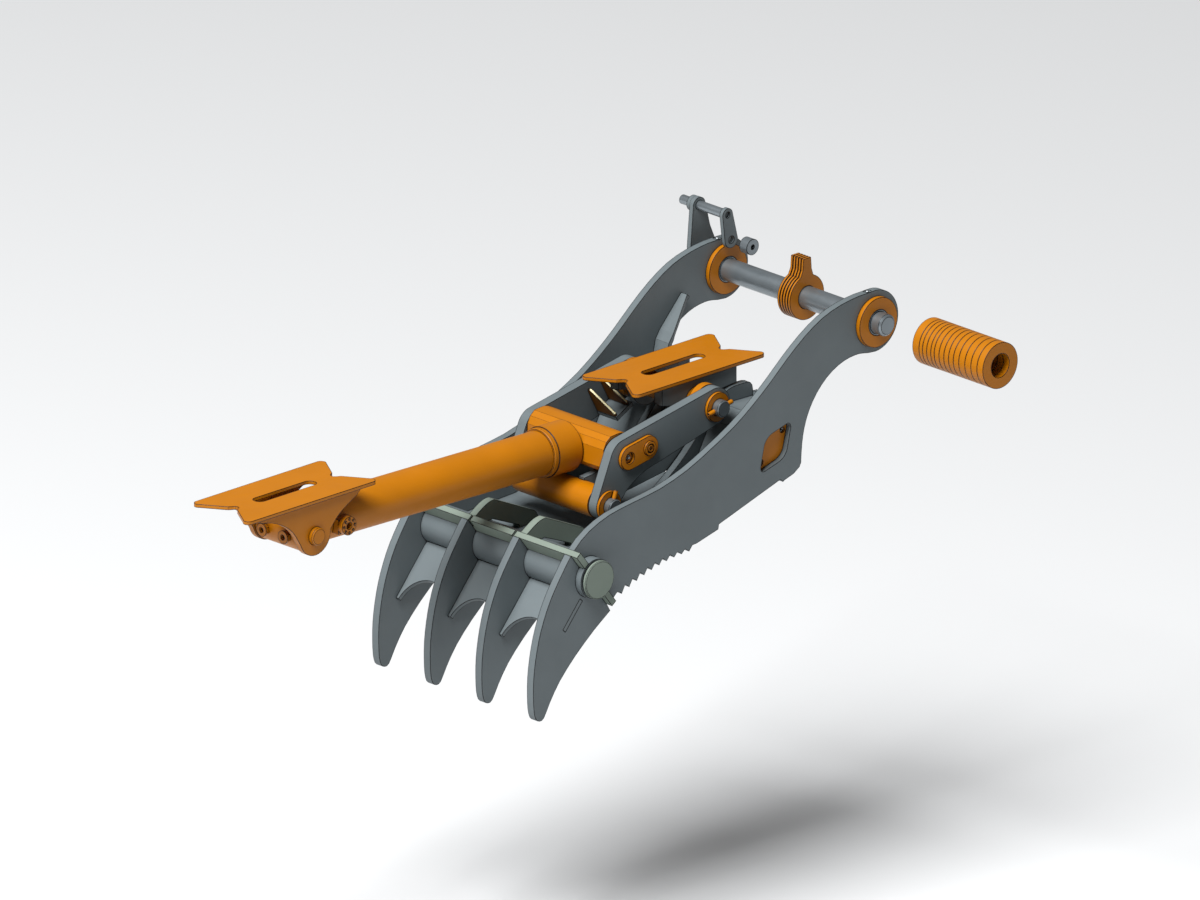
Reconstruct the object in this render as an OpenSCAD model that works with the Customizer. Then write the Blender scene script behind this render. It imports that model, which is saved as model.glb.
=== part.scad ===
// Hydraulic thumb for an 8 tonne class excavator, stick-mounted, with its two weld-on brackets.
// Millimetres, +Z up. Origin: middle of the main pin. +X runs along the stick away from the cab
// side bracket, -Y is the near side, the tines point down and towards -X.

/* [Main pin and side plates] */

// Radius of the main pin
main_pin_r = 25; // [20:0.5:27]
// Half length of the main pin
main_pin_half = 283; // [275:1:300]
// How much the ends of the main pin are turned down outside the bosses
pin_turned = 0.5; // [0.2:0.1:1]
// Radial running clearance between pins and bushings
run_fit = 0.06; // [0.02:0.01:0.1]
// Outer face of each side plate, from the middle
side_out = 242; // [240:1:246]
// Thickness of the side plates
side_t = 18; // [14:1:20]
// Radius of the side plate eye round the main pin
side_eye_r = 70; // [66:1:76]
// Outer radius of the main pin bosses
boss_r = 56; // [50:1:62]
// Thickness of each main pin boss
boss_t = 12; // [8:1:14]
// Wall of the pressed bushing in the side plates
bush_wall = 4; // [3:0.5:5]
// Radius of the grease fitting pocket in the eye
zerk_pocket_r = 6; // [5:0.5:7]

/* [Tines and torque tube] */

// Distance between neighbouring tines
tine_pitch = 160; // [156:1:160]
// Thickness of each tine
tine_t = 20; // [16:1:20]
// Outer radius of the torque tube
tube_r = 44.45; // [40:0.05:46]
// Wall of the torque tube
tube_wall = 8; // [6:0.5:10]
// How far the torque tube stands out of the outer tines
tube_proud = 17; // [10:1:20]
// Radius of the tube end caps
cap_r = 43; // [38:1:44]
// Thickness of the tube end caps
cap_t = 10; // [6:1:12]
// Gap between tube end and cap
cap_gap = 3; // [2:0.5:5]
// Thickness of the joint flange between body and tines
flange_t = 15; // [12:1:16]
// Thickness of the webs between tines
web_t = 10; // [8:1:12]
// Reach of the webs from the tube centre
web_reach = 186; // [176:1:190]
// Radius of the scallop in each web
scallop_r = 62; // [50:1:66]
// Number of teeth on the gripping edge
teeth = 10; // [8:1:10]
// Depth of the gripping teeth
tooth_depth = 9; // [6:0.5:10]

/* [Deck and ears] */

// Thickness of the bent deck plate
deck_t = 10; // [8:1:12]
// Half width of the deck cut-out at its open end
cut_top_half = 205; // [196:1:208]
// Half width of the deck cut-out at the bend and below it
cut_bend_half = 182; // [176:1:190]
// Height of the rear wall left standing under the deck cut-out
cut_lip = 11; // [6:1:20]
// Thickness of the ears that hold the link pin
ear_t = 18; // [14:1:20]
// Inner face of each ear, from the middle
ear_in = 69; // [66:1:72]
// Outer radius of the tubes that carry the link pin out to the side plates
ear_tube_r = 31; // [28:1:34]
// Radius of the pins of the rocker and of the drag link
link_pin_r = 19; // [16:0.5:20]
// Thickness of the keeper plates seen through the side windows
keeper_t = 12; // [8:1:14]
// How far each keeper plate stands into its side window
keeper_step = 5; // [3:0.5:8]
// Radius of the two bolts in each keeper plate
keeper_bolt_r = 4; // [3:0.5:5]
// Radius of the side windows in their middle
window_r = 36; // [34:0.5:40]
// Radius of the side windows at their ends
window_end_r = 10; // [8:0.5:12]
// Thickness of the gussets behind the flange
gusset_t = 20; // [14:1:20]

/* [Rocker and drag link] */

// Inner face of each rocker plate, from the middle
rocker_in = 120; // [119:1:122]
// Thickness of the rocker plates
rocker_t = 25; // [20:1:26]
// Radius of the rocker plate round its fixed pivot
rocker_r1 = 42; // [40:1:48]
// Radius of the rocker plate round its lower pin
rocker_r3 = 33; // [30:1:36]
// Thickness of the stop pad on the far rocker plate
pad_t = 10; // [8:1:14]
// Reach of the stop pad from the rocker plate
pad_reach = 60; // [40:1:66]
// Thickness of the two ribs on the stop pad
rib_t = 6; // [5:0.5:8]
// Outer radius of the pin washers
washer_r = 33; // [30:1:36]
// Thickness of the pin washers
washer_t = 8; // [6:1:9]
// Radius of the roll pins
roll_r = 5; // [4:0.5:6]
// Length of the roll pins
roll_len = 73; // [60:1:80]
// Radius of the drag link hub on the rocker
hub3_r = 35; // [33:0.5:36]
// Radius of the drag link hub in the ears
hub4_r = 33; // [30:0.5:34]
// Thickness of the two plates of the drag link
link_plate_t = 18; // [16:1:20]
// Outer face of each drag link plate, from the middle
link_out = 66; // [60:1:67]
// Half width of the drag link plates
link_half = 37; // [36:0.5:40]
// Height of the hollowed top edge of the drag link plates over their centre line
link_waist = 12; // [8:1:18]

/* [Cylinder] */

// Distance of the cylinder's base pin from the main pin, along the stick
base_pin_x = 1511; // [1490:1:1530]
// Outer radius of the cylinder barrel
barrel_r = 50; // [46:1:52]
// Radius of the cylinder bore
bore_r = 40; // [36:0.5:42]
// Outer radius of the gland collar
gland_r = 57; // [54:0.5:58]
// Radius of the piston rod
rod_r = 28; // [22:0.5:30]
// Radius of the barrel eye
eye_r = 41.5; // [38:0.5:44]
// Side room between the crosshead and each rocker plate
crosshead_gap = 1.5; // [1:0.5:4]
// Radius of the crosshead round its pins
crosshead_r = 48; // [44:1:50]
// Thickness of the flag plates on the stub pins
flag_t = 9; // [6:0.5:9]
// Radius of the screw boss on each flag plate
flag_boss_r = 16; // [14:0.5:18]
// Radius of the two stub pins of the crosshead
stub_r = 20; // [16:0.5:22]
// Side room at the two pivots where the closed loops are opened
open_gap = 0.8; // [0.5:0.1:2]

/* [Weld-on brackets] */

// Length of both base plates
base_len = 386; // [376:1:396]
// Width of both base plates
base_w = 176; // [166:1:184]
// Thickness of both base plates
base_t = 8; // [6:1:10]
// Depth of the swallow-tail cuts
tail_depth = 50; // [30:1:60]
// Length of the slot in the base plates
slot_len = 178; // [150:1:190]
// Width of the slot in the base plates
slot_w = 30; // [24:1:34]
// Outer face of the bracket ears, from the middle
bracket_out = 80; // [76:1:80]
// Thickness of the bracket ears
bracket_t = 15; // [12:1:16]
// Outer radius of the tube in the rear bracket
rear_hub_r = 28; // [26:1:32]
// Radius of the thrust collars at both ends of that tube
collar_r = 43; // [38:1:46]
// Thickness of the thrust collars
collar_t = 19; // [12:1:24]
// Radius of the rear bracket ears round the rocker pivot
bracket_r = 50; // [44:1:52]
// Radius of the front bracket pin
front_pin_r = 20; // [16:0.5:22]
// Half length of the front bracket pin
front_pin_half = 92; // [86:1:100]

/* [Loose parts] */

// Number of tab shims hanging on the main pin
tab_shims = 5; // [1:1:6]
// Thickness of one tab shim
tab_shim_t = 6; // [3:0.5:7]
// Outer radius of the tab shims
tab_shim_r = 51; // [46:1:54]
// Outer radius of the ring shims
ring_r = 52; // [46:1:56]
// Number of ring shims
rings = 14; // [8:1:15]

/* [View] */

// Which node to draw

/* [Hidden] */

$fn = 64;

GREY = [0.32, 0.35, 0.365];
LIGHT = [0.6, 0.65, 0.67];
ORANGE = [0.84, 0.51, 0.0];
GREEN = [0.45, 0.5, 0.46];
STEEL = [0.5, 0.54, 0.57];

// Pivots in the XZ plane
P1 = [-380, -125];
P2 = [-644, -175];
P3 = [-703, -270];
P4 = [-295, -215];
P5 = [-base_pin_x, -154];
TUBE = [-855, -368];
STICK_Z = -69.5;

bush_r = main_pin_r + bush_wall;
side_in = side_out - side_t;
tine_out = tine_pitch * 1.5 + tine_t / 2;
cyl_tilt = atan2(P2[1] - P5[1], P2[0] - P5[0]);
cyl_len = norm(P2 - P5);
gland_end = cyl_len - 47.5;
gland_start = cyl_len - 128;
rod_seat = 60;

// Direction of the flange (down its face) and its forward normal
fl_u = [0.614, -0.789];
fl_n = [-0.789, -0.614];
// Direction of the tine webs away from the tube
web_a = 229.2;
web_off = 9;

function arc(c, r, a0, a1, n) =
    [for (i = [0:n]) let (a = a0 + (a1 - a0) * i / n) [c[0] + r * cos(a), c[1] + r * sin(a)]];
function bend(a, b, c, d, t) =
    0.5 * (2 * b + (c - a) * t + (2 * a - 5 * b + 4 * c - d) * t * t
        + (3 * b - a - 3 * c + d) * t * t * t);
// Smooth run through the points, the first and last only steer it
function flow(p, n) =
    [for (i = [1:len(p) - 3]) for (j = [0:n - 1]) bend(p[i - 1], p[i], p[i + 1], p[i + 2], j / n)];
function reverse(p) = [for (i = [len(p) - 1:-1:0]) p[i]];

// points whose x is counted from the cylinder's base pin
function from_p5(p) = [for (q = p) [P5[0] + q[0], q[1]]];

module plate(y0, y1) {
    translate([0, y1, 0]) rotate([90, 0, 0]) linear_extrude(y1 - y0) children();
}

module bar(c, r, y0, y1) {
    translate([c[0], y1, c[1]]) rotate([90, 0, 0]) cylinder(r = r, h = y1 - y0);
}

// Bar along Y with a chamfer at both ends
module pin(c, r, y0, y1, ch) {
    bar(c, r, y0 + ch, y1 - ch);
    translate([c[0], y0 + ch, c[1]]) rotate([90, 0, 0]) cylinder(r1 = r, r2 = r - ch, h = ch);
    translate([c[0], y1, c[1]]) rotate([90, 0, 0]) cylinder(r1 = r - ch, r2 = r, h = ch);
}

module tube(c, ro, ri, y0, y1) {
    difference() {
        bar(c, ro, y0, y1);
        bar(c, ri, y0 - 1, y1 + 1);
    }
}

// Everything from the rear face of the flange forwards, in the XZ plane
module ahead_of_body() {
    translate(TUBE) rotate(atan2(fl_n[1], fl_n[0]))
        translate([-flange_t / 2, -600]) square([1200, 1200]);
}

// Everything from the front face of the flange backwards
module behind_tines() {
    translate(TUBE) rotate(atan2(fl_n[1], fl_n[0]))
        translate([-1200 + flange_t / 2, -600]) square([1200, 1200]);
}

function tip_z(u) = -388 - 0.00115 * u * u;

side_top = [[33, 78], [0, side_eye_r], [-47, 69], [-100, 62], [-155, 46], [-210, 16], [-262, -22],
    [-312, -63], [-362, -100], [-420, -137], [-490, -171], [-560, -201], [-640, -223],
    [-720, -234], [-790, -245], [-850, -267], [-897, -299], [-930, -330]];
side_rear = [[-20, -68], [-45, -63.5], [-75, -65], [-108, -74], [-142, -93], [-172, -121],
    [-195, -155], [-209, -190], [-216, -225], [-219, -262], [-219, -270]];
side_belly = [[-224, -277], [-241, -288], [-268, -296], [-273, -299], [-280, -292], [-288, -294],
    [-464, -348], [-466, -359], [-530, -375], [-543, -376]];
tooth_pts = [for (i = [0:teeth - 1]) let (u = 22.3 * i)
    each [[-553 - u, tip_z(u)], [-565 - u, tip_z(u) + tooth_depth]]];

module side_outline() {
    difference() {
        polygon(concat(
            arc([0, 0], side_eye_r, 85, -88, 28),
            flow(concat([[0, -side_eye_r]], side_rear, [[-221, -280]]), 2),
            side_belly, tooth_pts,
            [[-790, -448], [-830, -470], [-930, -330]],
            reverse(flow(side_top, 2))));
        ahead_of_body();
    }
}

window_d = [35, 36.5];
window_a = atan2(window_d[1], window_d[0]);
window_b = acos((window_r - window_end_r) / norm(window_d));

// Cat's-eye window in the side plate, g smaller all round
module window(g = 0) {
    a = window_a;
    b = window_b;
    polygon(concat(arc(P4 + window_d, window_end_r - g, a - b, a + b, 8),
        arc(P4, window_r - g, a + b, a + 180 - b, 8),
        arc(P4 - window_d, window_end_r - g, a + 180 - b, a + 180 + b, 8),
        arc(P4, window_r - g, a + 180 + b, a + 360 - b, 8)));
}

module side_plate(s) {
    difference() {
        plate(s > 0 ? side_in : -side_out, s > 0 ? side_out : -side_in) {
            difference() {
                side_outline();
                window();
            }
        }
        bar([0, 0], bush_r, -400, 400);
        bar(TUBE, tube_r, -400, 400);
        // grease fitting pocket in the top of the eye
        translate([-14, s * (side_in + side_t / 2), 72]) sphere(r = zerk_pocket_r + 3, $fn = 24);
    }
}

module side_plate_near() color(GREY) side_plate(-1);
module side_plate_far() color(GREY) side_plate(1);

module main_bosses() color(ORANGE) {
    for (s = [-1, 1]) {
        for (y = [side_in - boss_t, side_out])
            tube([0, 0], boss_r, bush_r, s > 0 ? y : -y - boss_t, s > 0 ? y + boss_t : -y);
    }
}

module main_bushings() color(STEEL) {
    for (s = [-1, 1])
        tube([0, 0], bush_r, main_pin_r + run_fit, s > 0 ? side_in - boss_t : -side_out - boss_t,
            s > 0 ? side_out + boss_t : -side_in + boss_t);
}

tine_back = [[-760, -430], [-796, -460], [-843, -492], [-900, -538], [-946, -584], [-975, -625],
    [-993, -656], [-1006, -661], [-1017, -654], [-1023, -634], [-1025, -600], [-1024, -560],
    [-1018, -517], [-1008, -474], [-993, -432], [-973, -391], [-946, -350], [-912, -305],
    [-880, -270]];

module tine_outline() {
    difference() {
        polygon(concat(flow(tine_back, 2), [[-912, -305], [-850, -360]]));
        behind_tines();
    }
}

// Slot that takes the tab of a tine web
module tab_slot(grow) {
    translate(TUBE) rotate(web_a)
        translate([tube_r + 8 - grow, web_off - web_t / 2 - grow])
            square([78 + 2 * grow, web_t + 2 * grow]);
}

module tine(y, tab) {
    difference() {
        plate(y - tine_t / 2, y + tine_t / 2) {
            difference() {
                tine_outline();
                if (tab) tab_slot(0);
            }
        }
        bar(TUBE, tube_r, y - 50, y + 50);
    }
}

module tine_near() color(GREY) tine(-1.5 * tine_pitch, true);
module tine_mid_near() color(GREY) tine(-0.5 * tine_pitch, false);
module tine_mid_far() color(GREY) tine(0.5 * tine_pitch, false);
module tine_far() color(GREY) tine(1.5 * tine_pitch, true);

module torque_tube() color(GREY)
    tube(TUBE, tube_r, tube_r - tube_wall, -tine_out - tube_proud, tine_out + tube_proud);

module tube_caps() color(GREEN) {
    for (s = [-1, 1]) {
        y = tine_out + tube_proud;
        a = s > 0 ? y - 12 : -y - cap_gap;
        bar(TUBE, tube_r - tube_wall, a, a + 12 + cap_gap);
        b = s > 0 ? y + cap_gap : -y - cap_gap - cap_t;
        pin(TUBE, cap_r, b, b + cap_t, 2);
    }
}

module joint_flange() color(GREEN) {
    w = tine_out + tube_proud;
    difference() {
        plate(-w, w) translate(TUBE) rotate(atan2(fl_u[1], fl_u[0]))
            translate([-83, -flange_t / 2]) square([172, flange_t]);
        bar(TUBE, tube_r, -w - 5, w + 5);
        // slits beside the inner tines
        for (y = [-1, 1])
            translate([TUBE[0] - 51, y * (tine_pitch / 2 - tine_t / 2 - 2.5), TUBE[1] + 65])
                cube([60, 5, 40], center = true);
    }
}

module tine_webs() color(LIGHT) {
    gap = tine_pitch - tine_t;
    for (i = [-1:1]) {
        difference() {
            plate(i * tine_pitch - gap / 2, i * tine_pitch + gap / 2)
                translate(TUBE) rotate(web_a) translate([tube_r - 6, web_off - web_t / 2])
                    square([web_reach - tube_r + 6, web_t]);
            bar(TUBE, tube_r, -400, 400);
            translate([TUBE[0] + (web_reach + 2) * cos(web_a), i * tine_pitch,
                TUBE[1] + (web_reach + 2) * sin(web_a)])
                rotate([0, -web_a, 0]) cylinder(r = scallop_r, h = 60, center = true);
        }
    }
    // tabs through the outer tines
    for (s = [-1, 1])
        plate(s > 0 ? tine_out - tine_t : -tine_out, s > 0 ? tine_out : -tine_out + tine_t)
            tab_slot(-0.05);
}

// Top line of the bent deck, from the ends of the horns forwards to the flange
deck_top = [[-129, -23], [-192, -90], [-206, -110], [-216, -156], [-301, -154], [-339, -180],
    [-406, -301], [-507, -327], [-624, -357], [-770, -364], [-830, -364]];
deck_wall = deck_top[3];
deck_foot = deck_top[6];
ear_out = ear_in + ear_t;

function unit(v) = v / norm(v);
function left(v) = [-v[1], v[0]];
// Line of the deck moved down by its thickness
function deck_low(i) =
    let (n = len(deck_top), a = deck_top[max(0, i - 1)], b = deck_top[i],
        c = deck_top[min(n - 1, i + 1)],
        u = i == 0 ? unit(c - b) : unit(b - a), v = i == n - 1 ? u : unit(c - b),
        m = unit(left(u) + left(v)))
    b + m * (deck_t / (m * left(u)));

module deck_outline()
    polygon(concat(deck_top, [for (i = [len(deck_top) - 1:-1:0]) deck_low(i)]));

module deck() color(LIGHT) {
    difference() {
        plate(-side_in, side_in) deck_outline();
        bar(TUBE, tube_r, -400, 400);
        // wide cut-out for the end of the stick, down to a low lip of the rear wall
        translate([0, 0, deck_wall[1] + cut_lip]) linear_extrude(300)
            polygon([[0, cut_top_half], [-129, cut_top_half], [-192, cut_bend_half],
                [-240, cut_bend_half], [-240, -cut_bend_half], [-192, -cut_bend_half],
                [-129, -cut_top_half], [0, -cut_top_half]]);
        // slot between the ears, for the drag link
        translate([deck_foot[0], -ear_out, -400]) cube([-deck_foot[0], 2 * ear_out, 500]);
    }
}

// Everything above the deck surface, kept for parts that stand on it
module above_deck() {
    polygon(concat(deck_top, [[-1000, -364], [-1000, 300], [-129, 300]]));
}

module gussets() color(GREEN) {
    for (s = [-1, 1]) {
        difference() {
            plate(s * tine_pitch / 2 - gusset_t / 2, s * tine_pitch / 2 + gusset_t / 2) {
                intersection() {
                    difference() {
                        polygon(concat(flow([[-930, -335], [-905, -312], [-887, -302], [-866, -289],
                            [-846, -281], [-826, -281], [-800, -292]], 3),
                            arc([-729, -356], 26, 66, 0, 6),
                            [[-703, -380], [-756, -380], [-759, -357], [-840, -323], [-848, -330],
                            [-848, -345], [-930, -345]]));
                        ahead_of_body();
                    }
                    above_deck();
                }
            }
            bar(TUBE, tube_r, -400, 400);
        }
    }
}

// Ear of the link pin: it stands on the deck floor and rises through the slot to the rear bracket
module ear_outline() {
    polygon(concat(
        flow([[-600, -360], [-546, -337], [-500, -303], [-468, -283], [-430, -255], [-403, -231],
            [-380, -208], [-358, -183], [-334, -159], [-312, -140], [-290, -126], [-266, -121],
            [-232, -121.5], [-200, -122]], 2),
        [[-232, -121.5], [-222, -124], [-216, -131], [-213, -146], [-215, -165], [-222, -205]],
        arc(P4, 48, -20, -75, 5), [deck_foot, [-507, -327]]));
}

module link_ears() color(GREY) {
    for (s = [-1, 1]) {
        difference() {
            plate(s > 0 ? ear_in : -ear_out, s > 0 ? ear_out : -ear_in) ear_outline();
            bar(P4, link_pin_r, -400, 400);
        }
    }
}

module ear_tubes() color(GREY) {
    for (s = [-1, 1])
        tube(P4, ear_tube_r, link_pin_r, s > 0 ? ear_out : -side_in + keeper_t,
            s > 0 ? side_in - keeper_t : -ear_out);
}

// The pin stops at the inner faces of the ears, where the closed loop is opened
module link_pin() color(STEEL) {
    for (s = [-1, 1])
        bar(P4, link_pin_r, s > 0 ? ear_in : -side_in + keeper_t, s > 0 ? side_in - keeper_t : -ear_in);
}

keeper_d = [32, 30];
keeper_a = atan2(keeper_d[1], keeper_d[0]);
bolt_seat = side_in - 4.5;

module keepers() color(ORANGE) {
    for (s = [-1, 1]) {
        y0 = s > 0 ? side_in - keeper_t : -side_in;
        difference() {
            union() {
                plate(y0, y0 + keeper_t)
                    polygon(concat(arc(P4 + keeper_d, 17, keeper_a - 80, keeper_a + 80, 8),
                        arc(P4, 36, keeper_a + 65, keeper_a + 115, 4),
                        arc(P4 - keeper_d, 17, keeper_a + 100, keeper_a + 260, 8),
                        arc(P4, 36, keeper_a + 245, keeper_a + 295, 4)));
                // spigot that fills the window
                y1 = s > 0 ? side_in - 2 : -side_in - keeper_step;
                plate(y1, y1 + keeper_step + 2) window(0.4);
            }
            for (k = [-1, 1]) {
                bar(P4 + k * keeper_d, keeper_bolt_r, -400, 400);
                bar(P4 + k * keeper_d, keeper_bolt_r + 3, s > 0 ? bolt_seat : -400,
                    s > 0 ? 400 : -bolt_seat);
            }
        }
    }
}

module keeper_bolts() color(STEEL) {
    for (s = [-1, 1]) {
        for (k = [-1, 1]) {
            bar(P4 + k * keeper_d, keeper_bolt_r, s > 0 ? side_in - keeper_t : -bolt_seat,
                s > 0 ? bolt_seat : -side_in + keeper_t);
            bar(P4 + k * keeper_d, keeper_bolt_r + 2.7, s > 0 ? bolt_seat : -bolt_seat - 5.5,
                s > 0 ? bolt_seat + 5.5 : -bolt_seat);
        }
    }
}

rocker_pts = concat(
    arc(P1, rocker_r1, -68, 98, 18),
    arc([-650.4, -176.2], 44, 98, 159, 8),
    arc(P3, rocker_r3, 159, 305, 14),
    flow([[-665, -317], [-684, -295], [-656, -261], [-629, -238], [-588, -218.5], [-541, -207.5],
        [-410, -175.5], [-365, -164], [-300, -146]], 2));

module rocker(y0) {
    difference() {
        plate(y0, y0 + rocker_t) polygon(rocker_pts);
        bar(P1, link_pin_r, -400, 400);
        bar(P3, link_pin_r, -400, 400);
        bar(P2, stub_r, -400, 400);
    }
}

module rocker_near() color(GREY) rocker(-rocker_in - rocker_t);
module rocker_far() color(GREY) rocker(rocker_in);

// Front lower edge and slope of the stop pad
pad_at = [-475.6, -188];
pad_a = 28;
pad_len = 53;

module on_pad() translate([pad_at[0], rocker_in, pad_at[1]]) rotate([0, -pad_a, 0]) children();

// Stop pad welded to the inner face of the far rocker plate
module stop_pad() color(GREY)
    on_pad() translate([0, -pad_reach, 0]) cube([pad_len, pad_reach, pad_t]);

// Two wedge-shaped ribs that hold the stop pad
module wedge_stop() color(ORANGE) {
    on_pad() for (x = [1, 40])
        translate([x, 0, pad_t]) rotate([90, 0, 90]) linear_extrude(rib_t)
            polygon([[0, 0], [0, 60], [-6, 64], [-pad_reach + 3, 7], [-pad_reach + 3, 0]]);
}

module rocker_pin() color(STEEL) pin(P1, link_pin_r, -171, 171, 3);
module lower_pin() color(STEEL) pin(P3, link_pin_r, -171, 171, 3);

washer_out = rocker_in + rocker_t + washer_t;

module washers() color(ORANGE) {
    for (c = [P1, P3]) {
        for (s = [-1, 1])
            tube(c, washer_r, link_pin_r, s > 0 ? rocker_in + rocker_t : -washer_out,
                s > 0 ? washer_out : -rocker_in - rocker_t);
    }
}

module roll_pin(c, a, y)
    translate([c[0], y, c[1]]) rotate([0, 90 - a, 0])
        cylinder(r = roll_r, h = roll_len, center = true, $fn = 24);

module roll_pins() color(ORANGE) {
    for (s = [-1, 1]) {
        y = s * (washer_out + roll_r + 0.5);
        difference() {
            union() {
                roll_pin(P1, 11, y);
                roll_pin(P3, 70, y);
            }
            bar(P1, link_pin_r, -400, 400);
            bar(P3, link_pin_r, -400, 400);
        }
    }
}

flag_v = [56.6, 9.6];

module stub_pins() color(ORANGE) {
    for (s = [-1, 1]) {
        o = rocker_in + rocker_t;
        difference() {
            union() {
                bar(P2, stub_r, s > 0 ? rocker_in - 26 : -o, s > 0 ? o : -rocker_in + 26);
                plate(s > 0 ? o : -o - flag_t, s > 0 ? o + flag_t : -o)
                    polygon(concat(arc(P2, 27, 97, 277, 14), arc(P2 + flag_v, 27, -83, 97, 14)));
                bar(P2 + flag_v, flag_boss_r, s > 0 ? o : -o - flag_t - 5, s > 0 ? o + flag_t + 5 : -o);
            }
            // recess over the greasing hole of the stub pin
            bar(P2, 13, s > 0 ? o + 1 : -400, s > 0 ? 400 : -o - 1);
            bar(P2, 6, s > 0 ? o - 12 : -400, s > 0 ? 400 : -o + 12);
            bar(P2 + flag_v, 10, s > 0 ? o + flag_t : -400, s > 0 ? 400 : -o - flag_t);
        }
    }
}

link_dir = (P4 - P3) / norm(P4 - P3);
link_len = norm(P4 - P3);
link_a = atan2(P4[1] - P3[1], P4[0] - P3[0]);

module link_plates() color(GREY) {
    for (s = [-1, 1]) {
        difference() {
            plate(s > 0 ? link_out - link_plate_t : -link_out, s > 0 ? link_out : -link_out + link_plate_t)
                translate(P3) rotate(link_a)
                    polygon(concat(arc([0, 0], link_half + 2, 90, 270, 14),
                        arc([link_len, 0], link_half, -90, 118, 14),
                        flow([[link_len + 20, 38], [link_len - 18, 32], [link_len - 40, 19],
                            [link_len - 66, link_waist], [250, link_waist], [180, 22], [110, 34],
                            [50, link_half + 1.5], [-20, link_half + 2]], 2)));
            bar(P3, hub3_r, -400, 400);
            bar(P4, hub4_r, -400, 400);
            // the plates are welded to the near half of the lower hub only
            translate([P3[0], 0, P3[1]]) rotate([0, -link_a, 0]) translate([-100, -200, -100])
                cube([112, 400, 200]);
        }
    }
}

module link_hub() color(ORANGE)
    tube(P3, hub3_r, link_pin_r + run_fit, -rocker_in + 0.6, rocker_in - 0.6);

module ear_hub() color(ORANGE) tube(P4, hub4_r, link_pin_r, -ear_in + open_gap, ear_in - open_gap);

// Middle length of the ear pin, which rides in the hub of the drag link
module hub_core() color(STEEL) bar(P4, link_pin_r, -ear_in + open_gap, ear_in - open_gap);

// Frame of the cylinder: x along its axis from the base pin
module along() {
    translate([P5[0], 0, P5[1]]) rotate([0, -cyl_tilt, 0]) rotate([0, 90, 0]) children();
}

module barrel() color(ORANGE) {
    difference() {
        along() translate([0, 0, 20]) difference() {
            cylinder(r = barrel_r, h = gland_start - 20);
            translate([0, 0, 45]) cylinder(r = bore_r, h = gland_start);
        }
        bar(P5, eye_r, -400, 400);
    }
}

module barrel_eye() color(ORANGE)
    tube(P5, eye_r, front_pin_r, -bracket_out + bracket_t + open_gap,
        bracket_out - bracket_t - open_gap);

// Middle length of the base pin, which rides in the eye of the barrel
module eye_core() color(STEEL)
    bar(P5, front_pin_r, -bracket_out + bracket_t + open_gap, bracket_out - bracket_t - open_gap);

module gland() color(ORANGE) {
    along() difference() {
        union() {
            translate([0, 0, gland_start]) cylinder(r1 = gland_r - 4, r2 = gland_r - 2, h = 4);
            translate([0, 0, gland_start + 4]) cylinder(r = gland_r - 2, h = 8);
            translate([0, 0, gland_start + 12]) cylinder(r = gland_r, h = gland_end - gland_start - 12);
        }
        translate([0, 0, gland_start - 1]) cylinder(r = rod_r + run_fit, h = 200);
    }
}

module rear_ports() color(ORANGE) {
    for (s = [-1, 1]) {
        difference() {
            translate([P5[0] - 53, s * 33, P5[1] - 3]) rotate([0, 90, 0]) union() {
                cylinder(r = 13.5, h = 30, $fn = 6);
                cylinder(r = 15, h = 4);
            }
            bar(P5, eye_r, -400, 400);
            translate([P5[0] - 54, s * 33, P5[1] - 3]) rotate([0, 90, 0]) cylinder(r = 6, h = 9);
        }
    }
}

module side_port() color(ORANGE) {
    c = [P5[0] + 101, P5[1] - 3];
    difference() {
        union() {
            plate(-66, -20) translate(c) translate([-19, -19]) square([38, 34]);
            tube(c, 21, 8, -80, -66);
            for (a = [0:45:315]) bar(c + 15.5 * [cos(a), sin(a)], 2.6, -82.5, -80);
        }
        along() cylinder(r = barrel_r, h = 400);
        bar(c, 8, -85, -56);
    }
}

module piston_rod() color(STEEL) {
    along() {
        translate([0, 0, 100]) cylinder(r = rod_r, h = cyl_len - 190 + rod_seat);
        translate([0, 0, 78]) cylinder(r = bore_r - run_fit, h = 45);
    }
}

module crosshead() color(ORANGE) {
    difference() {
        plate(-rocker_in + crosshead_gap, rocker_in - crosshead_gap)
            polygon(concat(arc(P2, crosshead_r, -97, 97, 20),
                [[-668, -129], [-681, -139], [-689, -155], [-689, -197], [-681, -207],
                [-660, -219]]));
        for (s = [-1, 1])
            bar(P2, stub_r + run_fit, s > 0 ? rocker_in - 28 : -200, s > 0 ? 200 : -rocker_in + 28);
        along() translate([0, 0, cyl_len - 90]) cylinder(r = rod_r, h = rod_seat);
    }
}

module base_plate(xc) {
    r = 12;
    h = base_w / 2;
    l = base_len / 2;
    q = base_len / 2 - tail_depth;
    difference() {
        translate([xc, 0, STICK_Z - base_t]) linear_extrude(base_t)
            polygon(concat(
                arc([l - r, h - r], r, 90, -50, 7), [[q + 12, 14]], arc([q + 6, 0], 9, 120, 240, 4),
                [[q + 12, -14]], arc([l - r, -h + r], r, 50, -90, 7),
                arc([-l + r, -h + r], r, 270, 130, 7), [[-q - 12, -14]],
                arc([-q - 6, 0], 9, 300, 420, 4), [[-q - 12, 14]],
                arc([-l + r, h - r], r, 230, 90, 7)));
        translate([xc, 0, STICK_Z - base_t - 1]) linear_extrude(base_t + 2) {
            square([slot_len - slot_w, slot_w], center = true);
            for (s = [-1, 1]) translate([s * (slot_len - slot_w) / 2, 0]) circle(d = slot_w);
        }
    }
}

module rear_base() color(ORANGE) base_plate(P1[0] + 12);
module front_base() color(ORANGE) base_plate(P5[0] - 15);

base_low = STICK_Z - base_t;

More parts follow.
